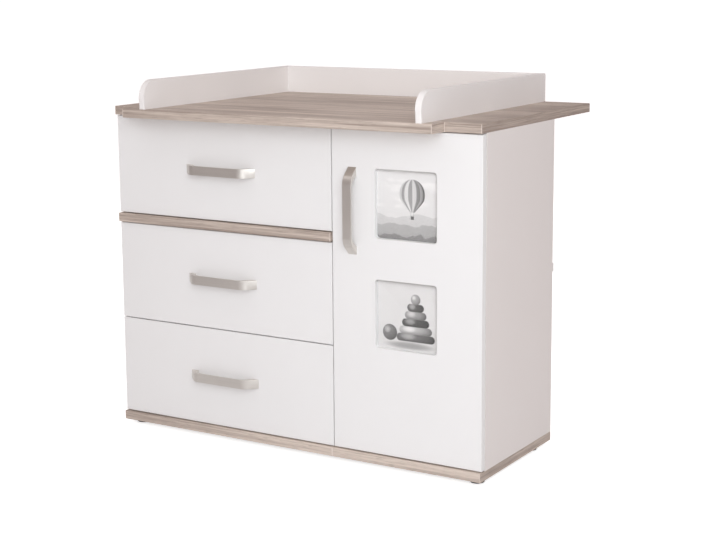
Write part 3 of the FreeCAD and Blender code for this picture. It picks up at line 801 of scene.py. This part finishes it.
def bow_handle():
    """A handle along X with its feet on y = 0 and its middle at the origin."""
    half, run, reach, width, edge_round = 0.118, 0.031, 0.030, 0.026, 0.0009
    outer_bend, inner_bend = 0.040, 0.034
    inner = reach - 0.004
    foot = half - 0.024
    inner_run = 0.5 * inner * run / reach
    outline = eased([
        (-half, 0, 0), (-half + run, -reach, outer_bend), (half - run, -reach, outer_bend),
        (half, 0, 0), (foot, 0, 0), (foot - inner_run, -inner, inner_bend),
        (-foot + inner_run, -inner, inner_bend), (-foot, 0, 0)], 16)
    bm = bmesh.new()
    prism(bm, [Vector((x, y, -width / 2)) for x, y in outline], Vector((0, 0, width)))

    def long_edge(a, b):
        return abs(a.z - b.z) < small and max(abs(a.y), abs(b.y)) >= small

    soften(bm, edge_round, 3, long_edge)
    return bm


front_face = -0.302
front_back = -0.283
across_finish = satin_nickel("nickel_across", False)
upright_finish = satin_nickel("nickel_upright", True)
machine_screw = {"Head radius": 0.0040, "Head height": 0.0025, "Top radius": 0.0029,
                 "Recess width": 0.0009, "Recess length": 0.0044, "Shank radius": 0.0019,
                 "Shank length": 0.028}
screw_reach = 0.104


def place_handle(name, middle, upright, body, bow_node, screws_node):
    """A handle with its middle at the given place, and its two screws from behind."""
    bm = bow_handle()
    if upright:
        bmesh.ops.rotate(bm, cent=(0, 0, 0), matrix=Matrix.Rotation(math.pi / 2, 3, "Y"),
                         verts=bm.verts)
    bmesh.ops.translate(bm, vec=middle, verts=bm.verts)
    piece(name, bm, upright_finish if upright else across_finish, body, "satin_nickel",
          bow_node)
    way = straight_up if upright else Vector((1, 0, 0))
    head_middle = front_back + machine_screw["Head height"] / 2
    holes = []
    for along in (-screw_reach, screw_reach):
        spot = middle + way * along
        holes.append((Vector((spot.x, head_middle, spot.z)), (0, 1, 0)))
    screws(name + "_screws", holes, machine_screw, zinc, body, "zinc", screws_node)


# Drawers ------------------------------------------------------------------------------
# A white front edged all round, a foil-wrapped box and a hardboard base in its
# groove; the box hangs on its two runner profiles.

band_thickness = 0.0011
joint_depth = 2.0


def band_line(board, node):
    """The fine line of a node's edge band round its face, as a mask."""
    low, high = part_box(node)
    sides = (board.x - low.x).least(high.x - board.x)
    ends = (board.z - low.z).least(high.z - board.z)
    away = abs(sides.least(ends) - band_thickness)
    return (1 - away.fade(0.00004, 0.00016)) * 0.5 * (abs(board.lean_y) > 0.7)


def banded_front(node):
    def joint(board):
        return band_line(board, node), (0.60, 0.58, 0.56, 1), joint_depth

    return white_board(node + "_white", marks=joint)


box_foil = white_board("box_foil")
bow_middle = -0.22725
bow_rise = 0.1415
lip_rise = 0.0238
lip_columns = (-0.5473, 0.1013)
lip_rows = (-0.262, -0.110, 0.030)
for drawer, bottom in drawers.items():
    dress(banded_front(drawer + "_front"), drawer + "_front")
    dress(box_foil, drawer + "_sides", drawer + "_back")
    dress(hardboard_finish, drawer + "_base")
    place_handle(drawer + "_bow", Vector((bow_middle, front_face, bottom + bow_rise)),
                 False, drawer, drawer + "_handle", drawer + "_handle_screws")
    fixings = []
    for y in lip_rows:
        for x in lip_columns:
            fixings.append((Vector((x, y, bottom + lip_rise)), (0, 0, -1)))
    screws(drawer + "_runner_screws", fixings, pan_head, zinc, drawer, "zinc")


# Door ---------------------------------------------------------------------------------
# One white door on two concealed hinges.  Two square windows are milled in its face;
# each holds a printed card behind a clear pane.

picture_centre = 0.36825
picture_heights = (0.430, 0.727)
picture_half = 0.093
picture_corner = 0.009


def window_edge(board):
    """Distance outwards from the edge of the nearer window."""
    across = abs(board.x - picture_centre) - (picture_half - picture_corner)
    up = abs(board.z - picture_heights[0]).least(abs(board.z - picture_heights[1]))
    up = up - (picture_half - picture_corner)
    corner = (across.most(0.0).squared() + up.most(0.0).squared()) ** 0.5
    return corner + across.most(up).least(0.0) - picture_corner


def door_marks(board):
    """The door's edge band, and a faint line of painted shade round each window on the front,
    also sunk as a small groove.
    """
    # painted shade: a thin grey line just outside each window stands for the recess's shadow
    # gap
    window_shade_line = (1 - abs(window_edge(board) - 0.0006).fade(0.0003, 0.0007)) * 0.30
    line = band_line(board, "door_panel").most(window_shade_line * (board.lean_y < -0.7))
    return line, (0.62, 0.60, 0.58, 1), joint_depth


dress(white_board("door_white", marks=door_marks), "door_panel")


def balloon_print(card, u):
    """Sky with thin cloud, three ranges of hills and one balloon, in greys."""
    v = (card.z - picture_heights[1]) / picture_half
    cloud = card.noise(u * 1.6 + 4, v * 4.5, 2.5, 4).fade(0.48, 0.72)
    grey = 0.80 + v * 0.05 + cloud * 0.10
    for height, rise, spread, shift, tone in ((-0.30, 0.55, 1.3, 3.1, 0.66),
                                              (-0.58, 0.50, 1.9, 7.7, 0.47),
                                              (-0.86, 0.44, 2.6, 1.3, 0.27)):
        crest = height + (card.noise(u * spread + shift, shift, 0.0, 3) - 0.5) * rise
        wood = card.noise(u * 16, v * 22, shift, 3)
        here = (crest - v).fade(-0.012, 0.012)
        grey = grey + here * (tone + (wood - 0.5) * 0.16 - (crest - v) * 0.10 - grey)
    radius = 0.40
    bu = (u - 0.14) / radius
    bv = (v - 0.34) / radius
    dome = (1 - bv.most(0.0).squared()).most(0.0001) ** 0.5
    width = dome.maths("SMOOTH_MIN", dome, bv * 0.92 + 1.40, 0.35)
    inside = (abs(bu) - width).fade(0.015, -0.015) * (bv + 1.32).fade(-0.01, 0.01) * (bv < 1)
    lean = (bu / width.most(0.02)).least(0.999).most(-0.999)
    gore = lean.maths("ARCSINE", lean) * 9.0
    gore = gore.maths("SINE", gore).fade(-0.25, 0.25)
    skin = (0.40 + gore * 0.42) * (0.98 - (lean + 0.35).squared() * 0.42)
    grey = grey + inside * (skin - grey)
    basket = (abs(bu) - 0.13).most(abs(bv + 1.72) - 0.12).fade(0.01, -0.01)
    ropes = (abs(abs(bu) - 0.115) - 0.012).most(abs(bv + 1.47) - 0.15).fade(0.01, -0.01)
    return grey + basket.most(ropes * 0.7) * (0.13 - grey)


def toy_print(card, u):
    """A ball and a stack of turned rings on a pale table, in greys."""
    v = (card.z - picture_heights[0]) / picture_half
    wall = 0.77 + v * 0.05 + (card.noise(u * 1.1, v * 1.1, 9.0, 2) - 0.5) * 0.10
    table = (-0.60 - v).fade(-0.02, 0.10)
    grey = wall + table * (0.74 - wall)
    shade = ((u - 0.05) / 0.95).squared() + ((v + 0.86) / 0.13).squared()
    grey = grey * (1 - shade.fade(1.0, 0.0) * 0.50)
    post = 0.24
    thick = 0.112
    for middle, half_width, tone in ((-0.62, 0.62, 0.13), (-0.40, 0.53, 0.40),
                                     (-0.18, 0.44, 0.06), (0.04, 0.35, 0.30),
                                     (0.26, 0.27, 0.10)):
        past = (abs(u - post) - (half_width - thick)).most(0.0)
        away = (past.squared() + (v - middle).squared()) ** 0.5 - thick
        ring = away.fade(0.012, -0.012)
        glow_u = ((u - post) / half_width + 0.40).squared()
        glow_v = ((v - middle) / thick - 0.35).squared()
        gloss = (1 - glow_v - glow_u * 5).most(0.0)
        lit = tone * (1.30 - glow_u * 0.52) * (1.10 - glow_v * 0.32) + gloss * 0.28
        grey = grey + ring * (lit - grey)
    for ball_u, ball_v, ball_radius, tone in ((post, 0.50, 0.155, 0.34),
                                              (-0.60, -0.52, 0.235, 0.16)):
        pu = (u - ball_u) / ball_radius
        pv = (v - ball_v) / ball_radius
        ball = ((pu.squared() + pv.squared()) ** 0.5).fade(1.04, 0.96)
        glow = (pu + 0.35).squared() + (pv - 0.35).squared()
        lit = tone * (1.42 - glow * 0.42) + (1 - glow * 4).most(0.0) * 0.30
        grey = grey + ball * (lit - grey)
    return grey


def card_print():
    """Both cards share one finish: the upper card's motif above, the lower one's below."""
    card = Finish("printed_card")
    u = (card.x - picture_centre) / picture_half
    toy = toy_print(card, u)
    upper = card.z > sum(picture_heights) / 2
    grey = toy + upper * (balloon_print(card, u) - toy)
    grain = (card.noise(card.x * 2600, card.z * 2600, 0.0, 1) - 0.5) * 0.03
    tone = (grey + grain).most(0.02).least(0.95)
    colour = card.mix(tone, (0.012, 0.011, 0.010, 1), (0.925, 0.905, 0.900, 1))
    return card.cover({"Base Color": colour, "Roughness": 0.42 + tone * 0.06,
                       "Specular IOR Level": 0.3})


dress(card_print(), "door_pictures")


def clear_acrylic():
    """Clear acrylic that lets the studio's lamps through to the card."""
    pane = Finish("clear_acrylic")
    wave = pane.noise(pane.x * 22, pane.y * 22, pane.z * 22, 2)
    body = pane.node("ShaderNodeBsdfPrincipled", {}, {
        "Base Color": (0.985, 0.97, 0.96, 1), "Roughness": 0.04, "IOR": 1.49,
        "Transmission Weight": 1.0, "Normal": pane.relief(wave, 0.00006, 0.4)})["BSDF"]
    lamp = pane.node("ShaderNodeLightPath")["Is Shadow Ray"]
    open_way = pane.node("ShaderNodeBsdfTransparent")["BSDF"]
    both = pane.node("ShaderNodeMixShader", {}, {0: lamp, 1: body, 2: open_way})["Shader"]
    pane.node("ShaderNodeOutputMaterial", {}, {"Surface": both})
    return pane.material


def window_panes():
    """Two square panes with round corners and a fine bevel in front."""
    front, back = -0.2890, -0.2870
    reach = picture_half - 0.0004
    bm = bmesh.new()
    for height in picture_heights:
        corners = [(picture_centre + sx * reach, height + sz * reach, picture_corner)
                   for sx, sz in ((-1, -1), (1, -1), (1, 1), (-1, 1))]
        ring = [Vector((x, front, z)) for x, z in eased(corners, 8)]
        prism(bm, ring, Vector((0, back - front, 0)))
    soften(bm, 0.0006, 2, lambda a, b: max(abs(a.y - front), abs(b.y - front)) < small)
    return bm


piece("picture_panes", window_panes(), clear_acrylic(), "door", "clear_acrylic",
      "door_panes")
door_bow_middle = Vector((0.206, front_face, 0.703))
place_handle("door_bow", door_bow_middle, True, "door", "door_handle",
             "door_handle_screws")


# Hinges and buffers -------------------------------------------------------------------
# Nickel-plated hinges: cup and ears in the door, link plates between, arm and mounting
# plate on the side panel, all with their own screws.  Soft clear buffers in the
# partition's front edge stop the door.

hinge_heights = (0.142, 0.825)
nickel_plate = plated("nickel_plate", (0.62, 0.60, 0.57), 0.30)
dress(nickel_plate, "hinge_cups", "hinge_links", "hinge_arms", "hinge_plates")
for name, body, x, y, spread, way in (
        ("cup_screws", "door", 0.5655, front_back + 0.0016, 0.0215, (0, 1, 0)),
        ("plate_screws", "cabinet", 0.5762, -0.244, 0.0115, (-1, 0, 0))):
    places = [(Vector((x, y, z + up * spread)), way) for z in hinge_heights for up in (-1, 1)]
    screws(name, places, pan_head, zinc, body, "zinc")
dress(moulded("clear_buffer", (0.72, 0.72, 0.70), 0.25), "door_bumpers")


# Shelf pins ---------------------------------------------------------------------------
# Four nickel pins carry the loose shelf.  Each stands in a bored hole, with a flat pad
# under the board.

dress(nickel_plate, "shelf_pins")
